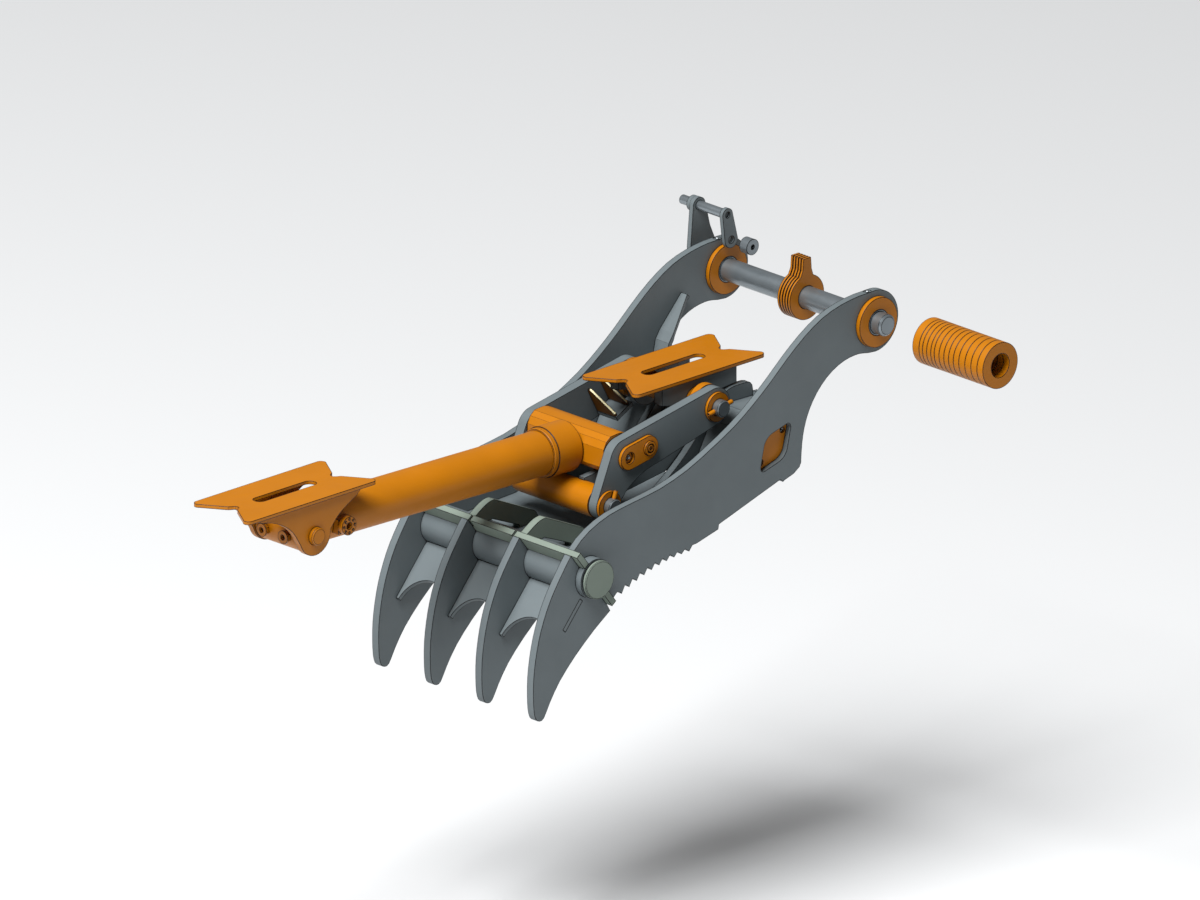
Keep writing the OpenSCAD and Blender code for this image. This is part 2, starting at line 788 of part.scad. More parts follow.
module rear_bracket() color(GREY) {
    o = bracket_out;
    for (s = [-1, 1]) {
        difference() {
            plate(s > 0 ? o - bracket_t : -o, s > 0 ? o : -o + bracket_t)
                polygon(concat([[-478, base_low], [-478, -118], [-438, -126]],
                    arc(P1, bracket_r, 190, 350, 16), [[-320, -125], [-300, -121], [-256, -117],
                    [-256, base_low]]));
            bar(P1, rear_hub_r, -400, 400);
        }
    }
    // end plates on the front of both ears
    for (s = [-1, 1])
        translate([-478, s > 0 ? o - 24 : -o, -116]) cube([12, 24, 116 + base_low]);
}

// Tube of the rocker pin with a thrust collar at each end
module rear_hub() color(ORANGE) {
    h = rocker_in - 0.8;
    difference() {
        union() {
            bar(P1, rear_hub_r, -h, h);
            for (s = [-1, 1])
                bar(P1, collar_r, s > 0 ? h - collar_t : -h, s > 0 ? h : -h + collar_t);
        }
        bar(P1, link_pin_r + run_fit, -200, 200);
    }
}

module front_ears() color(ORANGE) {
    o = bracket_out;
    for (s = [-1, 1]) {
        difference() {
            plate(s > 0 ? o - bracket_t : -o, s > 0 ? o : -o + bracket_t)
                polygon(concat([[P5[0] + 139, base_low]],
                    reverse(flow(from_p5([[48, -160], [49, -145], [71, -122], [98, -105],
                        [135, -86], [171, -70]]), 3)),
                    arc(P5, 45, 5, -160, 16),
                    flow(from_p5([[-34, -175], [-45, -164], [-66, -132], [-93, -110],
                        [-130, -93], [-174, -84], [-209, -80]]), 3),
                    [[P5[0] - 176, base_low]]));
            bar(P5, front_pin_r, -400, 400);
        }
    }
}

// The base pin stops at the inner faces of the ears, where the second loop is opened
module front_pin() color(ORANGE) {
    for (s = [-1, 1]) {
        i = bracket_out - bracket_t;
        difference() {
            pin(P5, front_pin_r, -front_pin_half, front_pin_half, 3);
            bar(P5, 40, s > 0 ? -200 : -i, s > 0 ? i : 200);
        }
    }
}

module main_pin() color(STEEL) {
    e = side_out + boss_t;
    bar([0, 0], main_pin_r, -e, e);
    pin([0, 0], main_pin_r - pin_turned, -main_pin_half, main_pin_half, 5);
}

rod_c = [-18, 133];
boss_c = [-7, 74];

module pin_flag() color(GREY) {
    difference() {
        plate(main_pin_half, main_pin_half + 12)
            polygon(concat(arc([0, 0], 38, -180, 0, 18), [[40, 20], [14, 80]],
                arc(rod_c, 18, 10, 170, 12), [[-44, 40]]));
        bar(rod_c, 10.5, 200, 400);
    }
    tube(rod_c, 17.5, 10.5, main_pin_half + 12, main_pin_half + 22);
}

module flag_rod() color(STEEL) pin(rod_c, 10.5, 205, 337, 2);

module keeper_link() color(GREY) {
    difference() {
        plate(195, 205)
            polygon(concat(arc(rod_c, 15, 5, 180, 12), arc(boss_c, 19, 185, 360, 14)));
        bar(rod_c, 7, 180, 200);
        bar(boss_c, 8.6, 180, 220);
    }
}

module threaded_boss() color(STEEL)
    tube(boss_c, 18, 5.2, 129, 152);

module tab_shim_set() color(ORANGE) {
    for (i = [0:tab_shims - 1]) {
        y = -32 + i * (tab_shim_t + 2.25);
        difference() {
            plate(y, y + tab_shim_t)
                polygon(concat(arc([0, 0], tab_shim_r, 68, -248, 44), [[-12, 62], [-10, 89],
                    [12, 89], [14, 62]]));
            bar([0, 0], main_pin_r + 0.4, -400, 400);
        }
    }
}

ring_gap = 0.8;
ring_t = [20, 10, 12, 12, 10, 14, 14, 14, 14, 16, 18, 18, 18, 18, 12];
ring_y = [for (i = 0, y = -413; i < 15; y = y - ring_t[i] - ring_gap, i = i + 1) y];

module ring_shim_set() color(ORANGE) {
    for (i = [0:rings - 1])
        tube([0, 0], ring_r, 27, ring_y[i] - ring_t[i], ring_y[i]);
}

side_plate_near();
side_plate_far();
main_bosses();
main_bushings();
tine_near();
tine_mid_near();
tine_mid_far();
tine_far();
torque_tube();
tube_caps();
joint_flange();
tine_webs();
deck();
gussets();
link_ears();
ear_tubes();
link_pin();
keepers();
keeper_bolts();
rocker_near();
rocker_far();
stop_pad();
wedge_stop();
rocker_pin();
lower_pin();
washers();
roll_pins();
stub_pins();
link_plates();
link_hub();
ear_hub();
hub_core();
barrel();
barrel_eye();
eye_core();
gland();
rear_ports();
side_port();
piston_rod();
crosshead();
rear_base();
rear_bracket();
rear_hub();
front_base();
front_ears();
front_pin();
main_pin();
pin_flag();
flag_rod();
keeper_link();
threaded_boss();
tab_shim_set();
ring_shim_set();
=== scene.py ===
"""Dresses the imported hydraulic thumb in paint, turned steel and chrome, and adds its hardware.

Lengths are in millimetres, apart from those of the studio, which are in metres.
"""

import logging
import math
from dataclasses import dataclass
from enum import Enum
from typing import ClassVar

import bpy
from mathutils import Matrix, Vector


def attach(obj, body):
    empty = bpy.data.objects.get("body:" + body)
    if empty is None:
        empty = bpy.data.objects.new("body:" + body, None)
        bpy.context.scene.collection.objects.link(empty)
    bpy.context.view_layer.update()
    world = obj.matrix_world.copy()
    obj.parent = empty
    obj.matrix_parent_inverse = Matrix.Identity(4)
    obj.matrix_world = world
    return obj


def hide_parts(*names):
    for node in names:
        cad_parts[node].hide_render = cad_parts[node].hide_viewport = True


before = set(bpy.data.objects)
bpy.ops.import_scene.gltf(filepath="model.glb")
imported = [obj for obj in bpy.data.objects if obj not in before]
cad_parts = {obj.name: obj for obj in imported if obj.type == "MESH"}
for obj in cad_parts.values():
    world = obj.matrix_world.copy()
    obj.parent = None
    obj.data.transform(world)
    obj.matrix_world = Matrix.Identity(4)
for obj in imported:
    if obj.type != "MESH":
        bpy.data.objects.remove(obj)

log = logging.getLogger("thumb")

MM = 0.001
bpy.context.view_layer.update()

Colour = tuple[float, float, float, float]
Point = tuple[float, float, float]
Pair = tuple[float, float]
Outline = list[Pair]
Layer = tuple[float, Outline]
Tree = bpy.types.NodeTree
Node = bpy.types.Node
Socket = bpy.types.NodeSocket

# x and z of the two pins that the cylinder works between.
HEAD_PIN: Pair = (-644.0, -175.0)
BASE_PIN: Pair = (-1511.0, -154.0)

# Faces that meet at less than this angle are shaded as one.
SMOOTH_BELOW = math.radians(32)

POLYURETHANE_IOR = 1.5
BUMP_MM = 1.0

# Sockets of the mix node when it mixes colours.
MIX_SHARE, MIX_UNDER, MIX_OVER, MIX_RESULT = 0, 6, 7, 2


class Body(Enum):
    """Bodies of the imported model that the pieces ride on."""

    STICK = "stick_parts"
    THUMB = "thumb"
    ROCKER = "rocker"
    LINK = "drag_link"
    PISTON = "piston"
    CYLINDER = "cylinder"


# ---------------------------------------------------------------- node helpers


def linear(code: str) -> Colour:
    """Turns an sRGB hex colour into linear light.

    Args:
        code: Six hex digits, as in "AA6500".

    Returns:
        Red, green, blue and an alpha of one.
    """
    parts = [int(code[i:i + 2], 16) / 255 for i in (0, 2, 4)]
    lit = [c / 12.92 if c <= 0.04045 else ((c + 0.055) / 1.055) ** 2.4 for c in parts]
    return (lit[0], lit[1], lit[2], 1.0)


def add(tree: Tree, kind: str, inputs: dict | None = None, **settings: object) -> Node:
    """Adds one shader node with its settings and links.

    Args:
        tree: Node tree that takes the node.
        kind: Blender's name for the node type, without "ShaderNode".
        inputs: Socket name or number to a value, or to an output socket to link from.
        **settings: Attributes of the node itself.

    Returns:
        The new node.
    """
    node = tree.nodes.new("ShaderNode" + kind)
    for key, value in settings.items():
        setattr(node, key, value)
    for key, value in (inputs or {}).items():
        if isinstance(value, bpy.types.NodeSocket):
            tree.links.new(value, node.inputs[key])
        else:
            node.inputs[key].default_value = value
    return node


def noise(tree: Tree, where: Socket, size_mm: float, detail: float) -> Socket:
    """Adds a noise texture.

    Args:
        tree: Node tree of the material.
        where: Coordinates in metres.
        size_mm: Distance between its crests.
        detail: How many finer layers it has.

    Returns:
        The noise, mostly between 0.3 and 0.7.
    """
    scale = 1 / (size_mm * MM)
    return add(tree, "TexNoise", {"Vector": where, "Scale": scale, "Detail": detail}).outputs[0]


def ramp(tree: Tree, value: Socket, source: Pair, target: Pair = (0.0, 1.0)) -> Socket:
    """Maps one range of values onto another and holds it at both ends.

    Args:
        tree: Node tree of the material.
        value: The value to map.
        source: Values that give the first and the second of the target.
        target: What comes out at those values.

    Returns:
        The mapped value.
    """
    node = add(tree, "MapRange", {"Value": value, "From Min": source[0], "From Max": source[1],
                                  "To Min": target[0], "To Max": target[1]})
    return node.outputs[0]


def mix(tree: Tree, share: Socket | float, under: Socket | Colour, over: Socket | Colour,
        blend: str = "MIX") -> Socket:
    """Mixes two colours.

    Args:
        tree: Node tree of the material.
        share: How much of the second colour shows.
        under: First colour.
        over: Second colour.
        blend: Blender's name for the way that they mix.

    Returns:
        The mixed colour.
    """
    node = add(tree, "Mix", {MIX_SHARE: share, MIX_UNDER: under, MIX_OVER: over},
               data_type="RGBA", blend_type=blend)
    return node.outputs[MIX_RESULT]


def bump(tree: Tree, height: Socket, strength: float, normal: Socket) -> Socket:
    """Roughens a normal.

    Args:
        tree: Node tree of the material.
        height: Height of the surface, from zero to one.
        strength: Share of BUMP_MM that the height stands for.
        normal: Normal to start from.

    Returns:
        The roughened normal.
    """
    node = add(tree, "Bump", {"Strength": strength, "Distance": BUMP_MM * MM,
                              "Height": height, "Normal": normal})
    return node.outputs[0]


# ---------------------------------------------------------------- finishes


@dataclass(frozen=True)
class Surface:
    """What every finish shares: a colour, a dark line along cut edges and painted shade in tight
    joints.

    Plate is sprayed after it is cut, and the film thins on each sharp edge, so a dark line
    shows there. It is about 1 mm wide on the real part. It is drawn wider here, by line_mm,
    so that it shows as the black edge does in the photograph.
    """

    NOISE: ClassVar[Pair] = (0.3, 0.7)
    # Cosine between the rounded and the plain normal where the line starts and is full.
    LINE_TURN: ClassVar[Pair] = (0.993, 0.975)
    # Share of open space round a point where the painted shade of a tight joint starts and is full.
    JOINT_OPEN: ClassVar[Pair] = (0.75, 0.45)
    # Darkest share of the painted shade in a tight joint.
    JOINT_SHADE: ClassVar[float] = 0.9
    # How far the roughness wanders, and over what share of the mottle's size.
    WEAR: ClassVar[Pair] = (-0.05, 0.07)
    WEAR_SIZE: ClassVar[float] = 0.3
    SAMPLES: ClassVar[int] = 8

    name: str
    face: str
    line: str
    roughness: float
    slot: str | None = None
    metallic: float = 0.0
    line_mm: float = 3.0
    joint_mm: float = 5.0
    mottle_mm: float = 120.0
    mottle: float = 0.05

    def tint(self, tree: Tree, where: Socket) -> Socket:
        """Mottles the face colour.

        Args:
            tree: Node tree of the material.
            where: Object coordinates, in metres.

        Returns:
            The colour output.
        """
        cloud = noise(tree, where, self.mottle_mm, detail=5.0)
        shade = ramp(tree, cloud, self.NOISE, (1 - self.mottle, 1 + self.mottle))
        return mix(tree, 1.0, linear(self.face), shade, blend="MULTIPLY")

    def mask(self, tree: Tree, soft: Socket) -> Socket:
        """Finds the sharp edges and the tight joints.

        Args:
            tree: Node tree of the material.
            soft: Normal with the sharp edges rounded.

        Returns:
            One on an edge, nearly one deep in a joint, where it paints shade, and zero on an open
            face.
        """
        flat = add(tree, "NewGeometry").outputs["Normal"]
        turn = add(tree, "VectorMath", {0: soft, 1: flat}, operation="DOT_PRODUCT")
        rim = ramp(tree, turn.outputs["Value"], self.LINE_TURN)
        # Ambient occlusion finds the tight joints, which are darkened as painted shade.
        near = add(tree, "AmbientOcclusion", {"Distance": self.joint_mm * MM},
                   samples=self.SAMPLES)
        joint = ramp(tree, near.outputs["AO"], self.JOINT_OPEN, (0.0, self.JOINT_SHADE))
        return add(tree, "Math", {0: rim, 1: joint}, operation="MAXIMUM").outputs[0]

    def relief(self, tree: Tree, where: Socket, soft: Socket) -> Socket:
        """Leaves the surface smooth apart from its rounded edges.

        Args:
            tree: Node tree of the material.
            where: Object coordinates, in metres.
            soft: Normal with the sharp edges rounded.

        Returns:
            The normal output.
        """
        return soft

    def trim(self, shader: Node) -> None:
        """Sets the sockets that only this finish uses."""

    def material(self) -> bpy.types.Material:
        """Makes the material, or finds it if it has been made.

        Returns:
            The Blender material.
        """
        known = bpy.data.materials.get(self.name)
        if known:
            return known
        mat = bpy.data.materials.new(self.name)
        mat.use_nodes = True
        tree = mat.node_tree
        shader = tree.nodes["Principled BSDF"]
        where = add(tree, "TexCoord").outputs["Object"]
        soft = add(tree, "Bevel", {"Radius": self.line_mm * MM}, samples=self.SAMPLES).outputs[0]
        # Mixes the line colour in on sharp edges, and into tight joints as painted shade.
        lined_and_shaded = mix(tree, self.mask(tree, soft), self.tint(tree, where), linear(self.line))
        gloss = noise(tree, where, self.WEAR_SIZE * self.mottle_mm, detail=3.0)
        low, high = self.WEAR
        wear = ramp(tree, gloss, self.NOISE, (self.roughness + low, self.roughness + high))
        tree.links.new(lined_and_shaded, shader.inputs["Base Color"])
        tree.links.new(self.relief(tree, where, soft), shader.inputs["Normal"])
        tree.links.new(wear, shader.inputs["Roughness"])
        shader.inputs["Metallic"].default_value = self.metallic
        self.trim(shader)
        return mat


@dataclass(frozen=True)
class SprayedPaint(Surface):
    """Two-pack polyurethane sprayed on shot-blasted plate.

    It gives the eye an even satin colour with a faint orange peel, 7 mm from crest to crest.
    """

    peel_mm: float = 7.0
    peel: float = 0.04
    coat: float = 0.08
    coat_roughness: float = 0.25
    specular: float = 0.22

    def relief(self, tree: Tree, where: Socket, soft: Socket) -> Socket:
        """Adds the orange peel of sprayed paint.

        Args:
            tree: Node tree of the material.
            where: Object coordinates, in metres.
            soft: Normal with the sharp edges rounded.

        Returns:
            The normal output.
        """
        return bump(tree, noise(tree, where, self.peel_mm, detail=2.0), self.peel, soft)

    def trim(self, shader: Node) -> None:
        """Sets the clear coat and the shine of a polyurethane film.

        Args:
            shader: The material's main shader.
        """
        shader.inputs["Coat Weight"].default_value = self.coat
        shader.inputs["Coat Roughness"].default_value = self.coat_roughness
        shader.inputs["Specular IOR Level"].default_value = self.specular
        shader.inputs["IOR"].default_value = POLYURETHANE_IOR


@dataclass(frozen=True)
class ShadedHighlitPaint(SprayedPaint):
    """Paint with a painted pale yellow highlight on the faces that look along one direction.

    On the stop these are its sloping faces.
    """

    # Painted highlight: its colour, the direction that lit faces look along, and the cosine span
    # over which it fades in.
    highlight_colour: str = "FFF6C8"
    slope: Point = (-0.313, -0.745, 0.589)
    slope_span: Pair = (0.93, 0.97)

    def tint(self, tree: Tree, where: Socket) -> Socket:
        """Mixes a painted pale highlight in on the faces that look along the slope.

        Args:
            tree: Node tree of the material.
            where: Object coordinates, in metres.

        Returns:
            The colour output.
        """
        paint = super().tint(tree, where)
        normal = add(tree, "TexCoord").outputs["Normal"]
        facing = add(tree, "VectorMath", {0: normal, 1: self.slope}, operation="DOT_PRODUCT")
        # Share of painted highlight, from how far the face looks along the slope.
        highlight_share = ramp(tree, facing.outputs["Value"], self.slope_span)
        return mix(tree, highlight_share, paint, linear(self.highlight_colour))


@dataclass(frozen=True)
class TurnedSteel(Surface):
    """Medium carbon steel bar, turned and ground for a running fit.

    It gives the eye a cool grey shine with fine rings round the pin. The real feed marks are
    0.2 mm apart and are drawn 3 mm apart so that they show.
    """

    feed_mm: float = 3.0
    groove: float = 0.06
    # Stretches the noise across the pin, so that it makes rings round Y.
    stretch: Point = (0.02, 1.0, 0.02)

    def relief(self, tree: Tree, where: Socket, soft: Socket) -> Socket:
        """Adds the rings that the lathe leaves round a pin that lies along Y.

        Args:
            tree: Node tree of the material.
            where: Object coordinates, in metres.
            soft: Normal with the sharp edges rounded.

        Returns:
            The normal output.
        """
        along = add(tree, "VectorMath", {0: where, 1: self.stretch}, operation="MULTIPLY")
        rings = noise(tree, along.outputs[0], self.feed_mm, detail=3.0)
        return bump(tree, rings, self.groove, soft)


@dataclass(frozen=True)
class HardChrome(Surface):
    """Hard chrome plate, ground and polished on the piston rod.

    It gives the eye a mirror-like bar with a very light haze.
    """


@dataclass(frozen=True)
class CastSeal(Surface):
    """Cast polyurethane rod wiper.

    It gives the eye a matt dark lip between the orange gland and the bright rod.
    """

    def trim(self, shader: Node) -> None:
        """Sets the IOR of polyurethane."""
        shader.inputs["IOR"].default_value = POLYURETHANE_IOR


@dataclass(frozen=True)
class ZincPlate(Surface):
    """Clear zinc plate on small cold-headed hardware.

    It gives the eye a pale, slightly cloudy metal.
    """


class Finish(Enum):
    """The finishes of the part, each with its face and line colours in sRGB."""

    GREY = SprayedPaint("polyurethane_grey", "5C6467", "06090B", 0.5, "grey_paint")
    # Painted light: the same grey paint as GREY, made slightly lighter for the deck and the webs,
    # whose faces look up to the lamp.
    GREY_LIT = SprayedPaint("polyurethane_grey_lit_copy", "5F676A", "06090B", 0.5, "light_grey_paint")
    ORANGE = SprayedPaint("polyurethane_orange", "A06000", "1A0A00", 0.42, "orange_paint",
                          coat=0.06)
    # Painted shade and highlight: a darker copy of the orange, with a painted pale highlight on the
    # sloping faces of the wedge stop.
    ORANGE_SHADED_HIGHLIT = ShadedHighlitPaint("polyurethane_orange_shaded_highlit", "5C3600", "1A0A00", 0.5, "orange_paint")
    PRIMER = SprayedPaint("zinc_phosphate_primer", "6F7A71", "0A0E0B", 0.62, "green_primer",
                          coat=0.0)
    STEEL = TurnedSteel("ground_bar_steel", "80888D", "0B0F12", 0.34, "bright_steel",
                        metallic=0.75)
    CHROME = HardChrome("hard_chrome", "D5D8DA", "0B0F12", 0.14, "chrome_rod", metallic=1.0)
    ZINC = ZincPlate("clear_zinc_plate", "A9AEB1", "0B0F12", 0.38, "bright_steel",
                     metallic=0.9, line_mm=0.6)
    SEAL = CastSeal("cast_polyurethane", "17181A", "050506", 0.55, line_mm=0.8)


# ---------------------------------------------------------------- mesh building


def round_outline(radius: float, count: int = 48) -> Outline:
    """Circle of points.

    Args:
        radius: Radius.
        count: Number of points.

    Returns:
        The points, anticlockwise.
    """
    return [(radius * math.cos(math.tau * i / count), radius * math.sin(math.tau * i / count))
            for i in range(count)]


def hex_outline(flats: float, limit: float = math.inf, count: int = 48) -> Outline:
    """Hexagon whose corners may be cut back to a circle, as on a chamfered bolt head.

    Args:
        flats: Width across the flats.
        limit: Largest radius.
        count: Number of points.

    Returns:
        The points, anticlockwise.
    """
    points = []
    for i in range(count):
        angle = math.tau * i / count
        off = (angle + math.pi / 6) % (math.pi / 3) - math.pi / 6
        radius = min(flats / 2 / math.cos(off), limit)
        points.append((radius * math.cos(angle), radius * math.sin(angle)))
    return points


def slotted_outline(outer: float, inner: float, gap: float, count: int = 24) -> Outline:
    """Open ring, the section of a slotted spring pin.

    Args:
        outer: Outer radius.
        inner: Inner radius.
        gap: Half angle of the slot in degrees.
        count: Number of steps on each side.

    Returns:
        The points, anticlockwise.
    """
    turns = [math.radians(gap + (360 - 2 * gap) * i / count) for i in range(count + 1)]
    out = [(outer * math.cos(t), outer * math.sin(t)) for t in turns]
    return out + [(inner * math.cos(t), inner * math.sin(t)) for t in reversed(turns)]


class Sketch:
    """Gathers the faces of one piece before it becomes a mesh."""

    def __init__(self) -> None:
        """Starts with no points and no faces."""
        self.points: list[Vector] = []
        self.faces: list[tuple[int, ...]] = []

    def stack(self, layers: list[Layer], at: Point, axis: Point, closed: bool = False) -> None:
        """Skins a stack of outlines.

        Args:
            layers: Height and outline of each layer, all with the same number of points.
            at: Foot of the stack.
            axis: Direction that the heights run in.
            closed: True joins the last layer to the first, for a ring; False caps both ends.
        """
        turn = Vector(axis).to_track_quat("Z", "Y")
        first, ring = len(self.points), len(layers[0][1])
        for height, outline in layers:
            self.points += [Vector(at) + turn @ Vector((x, y, height)) for x, y in outline]
        for k in range(len(layers) if closed else len(layers) - 1):
            a, b = first + k * ring, first + (k + 1) % len(layers) * ring
            self.faces += [(a + i, a + (i + 1) % ring, b + (i + 1) % ring, b + i)
                           for i in range(ring)]
        if not closed:
            top = first + (len(layers) - 1) * ring
            self.faces.append(tuple(range(first + ring - 1, first - 1, -1)))
            self.faces.append(tuple(range(top, top + ring)))

    def piece(self, name: str, body: Body, finish: Finish) -> bpy.types.Object:
        """Turns the sketch into a Blender object that rides on a body.

        Args:
            name: Name of the piece.
            body: Body that it rides on.
            finish: Its finish.

        Returns:
            The new object.
        """
        mesh = bpy.data.meshes.new(name)
        mesh.from_pydata([p * MM for p in self.points], [], self.faces)
        mesh.shade_smooth()
        mesh.set_sharp_from_angle(angle=SMOOTH_BELOW)
        mesh.materials.append(finish.value.material())
        obj = bpy.data.objects.new(name, mesh)
        bpy.context.scene.collection.objects.link(obj)
        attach(obj, body.value)
        log.info("piece %s on %s, %d faces", name, body.value, len(self.faces))
        return obj


@dataclass(frozen=True)
class GreaseNipple:
    """Grease nipple: a hexagon, a neck and the ball end that the gun grips."""

    flats: float = 9.0
    hex_side: float = 2.6
    hex_top: float = 3.2
    # Radius that the corners are cut back to at the top, as a share of the flats.
    corner: float = 0.56
    # Height above the seat and radius, from the neck over the ball to its dimple.
    rings: tuple[Pair, ...] = ((3.3, 2.6), (4.6, 2.2), (5.4, 2.2), (6.4, 3.3),
                               (7.4, 3.3), (8.6, 2.0), (8.8, 1.0), (8.2, 0.8))

    def draw(self, sketch: Sketch, foot: Point, way: Point) -> None:
        """Draws the nipple.

        Args:
            sketch: Sketch that takes the faces.
            foot: Seat of the hexagon.
            way: Direction that the nipple points in.
        """
        side = hex_outline(self.flats)
        layers = [(0.0, side), (self.hex_side, side),
                  (self.hex_top, hex_outline(self.flats, self.flats * self.corner))]
        layers += [(height, round_outline(radius)) for height, radius in self.rings]
        sketch.stack(layers, foot, way)


@dataclass(frozen=True)
class SocketScrew:
    """Socket-head screw."""

    shank_r: float
    neck: float
    head_r: float
    height: float
    key: float
    chamfer: float = 0.8
    # Radius of the socket's mouth, as a share of the key.
    mouth: float = 0.62
    mouth_depth: float = 0.5
    # The socket's walls end this far above the neck, and its floor dips to a small circle.
    socket_end: float = 1.5
    floor: float = 1.2
    floor_r: float = 0.6

    def draw(self, sketch: Sketch, at: Point, way: Point) -> None:
        """Draws the screw.

        Args:
            sketch: Sketch that takes the faces.
            at: Foot of the shank.
            way: Direction from the foot to the head.
        """
        top = self.neck + self.height
        sketch.stack([(0.0, round_outline(self.shank_r)),
                      (self.neck, round_outline(self.shank_r)),
                      (self.neck, round_outline(self.head_r)),
                      (top - self.chamfer, round_outline(self.head_r)),
                      (top, round_outline(self.head_r - self.chamfer)),
                      (top, round_outline(self.key * self.mouth)),
                      (top - self.mouth_depth, hex_outline(self.key)),
                      (self.neck + self.socket_end, hex_outline(self.key)),
                      (self.neck + self.floor, round_outline(self.floor_r))], at, way)


# ---------------------------------------------------------------- sub-assemblies


@dataclass
class SubAssembly:
    """Nodes that are dressed together, and the small hardware that goes with them."""

    body: ClassVar[Body]
    nodes: ClassVar[dict[str, Finish]]

    def dress(self) -> None:
        """Gives every node its finish."""
        for node, finish in self.nodes.items():
            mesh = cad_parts[node].data
            mesh.materials.clear()
            mesh.materials.append(finish.value.material())
            log.info("node %s on %s in %s", node, self.body.value, finish.value.name)

    def build(self) -> None:
        """Builds the hardware; a sub-assembly with none leaves this empty."""


@dataclass
class SidePlates(SubAssembly):
    """Both toothed side plates, with the bosses and bushings of the main pin."""

    body: ClassVar[Body] = Body.THUMB
    nodes: ClassVar[dict[str, Finish]] = {
        "side_plate_near": Finish.GREY, "side_plate_far": Finish.GREY,
        "main_bosses": Finish.ORANGE, "main_bushings": Finish.STEEL}
    middle_y: float = 233.0
    pocket: Pair = (-14.0, 72.0)
    pocket_floor: float = 64.0

    def build(self) -> None:
        """Screws a grease nipple into the pocket of each eye."""
        x, z = self.pocket
        length = math.hypot(x, z)
        way = (x / length, 0.0, z / length)
        for side, name in ((-1, "grease_nipple_near"), (1, "grease_nipple_far")):
            sketch = Sketch()
            foot = (way[0] * self.pocket_floor, side * self.middle_y, way[2] * self.pocket_floor)
            GreaseNipple().draw(sketch, foot, way)
            sketch.piece(name, self.body, Finish.ZINC)


@dataclass
class TineHead(SubAssembly):
    """The four tines on their torque tube, with the flange, webs, caps and gussets."""

    body: ClassVar[Body] = Body.THUMB
    nodes: ClassVar[dict[str, Finish]] = {
        "tine_near": Finish.GREY, "tine_mid_near": Finish.GREY, "tine_mid_far": Finish.GREY,
        "tine_far": Finish.GREY, "torque_tube": Finish.GREY, "tube_caps": Finish.PRIMER,
        # Painted light: the webs take the lighter copy of the grey.
        "joint_flange": Finish.PRIMER, "tine_webs": Finish.GREY_LIT, "gussets": Finish.PRIMER}


@dataclass
class DeckAndEars(SubAssembly):
    """The bent deck with the ears, tubes and keeper plates of the link pin."""

    body: ClassVar[Body] = Body.THUMB
    nodes: ClassVar[dict[str, Finish]] = {
        # Painted light: the deck takes the lighter copy of the grey.
        "deck": Finish.GREY_LIT, "link_ears": Finish.GREY, "ear_tubes": Finish.GREY,
        "link_pin": Finish.STEEL, "keepers": Finish.ORANGE, "keeper_bolts": Finish.ORANGE}
    pin: Pair = (-295.0, -215.0)
    screw_offset: Pair = (32.0, 30.0)
    screw_foot_y: float = 212.0
    screw: SocketScrew = SocketScrew(shank_r=4.0, neck=7.5, head_r=6.7, height=5.5, key=6.0)

    def build(self) -> None:
        """Sinks socket-head screws into both keeper plates in place of the plain bolts."""
        sketch = Sketch()
        for side in (-1, 1):
            for way in (-1, 1):
                at = (self.pin[0] + way * self.screw_offset[0], side * self.screw_foot_y,
                      self.pin[1] + way * self.screw_offset[1])
                self.screw.draw(sketch, at, (0, side, 0))
        bolts = sketch.piece("keeper_socket_screws", self.body, Finish.ZINC)
        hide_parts("keeper_bolts")


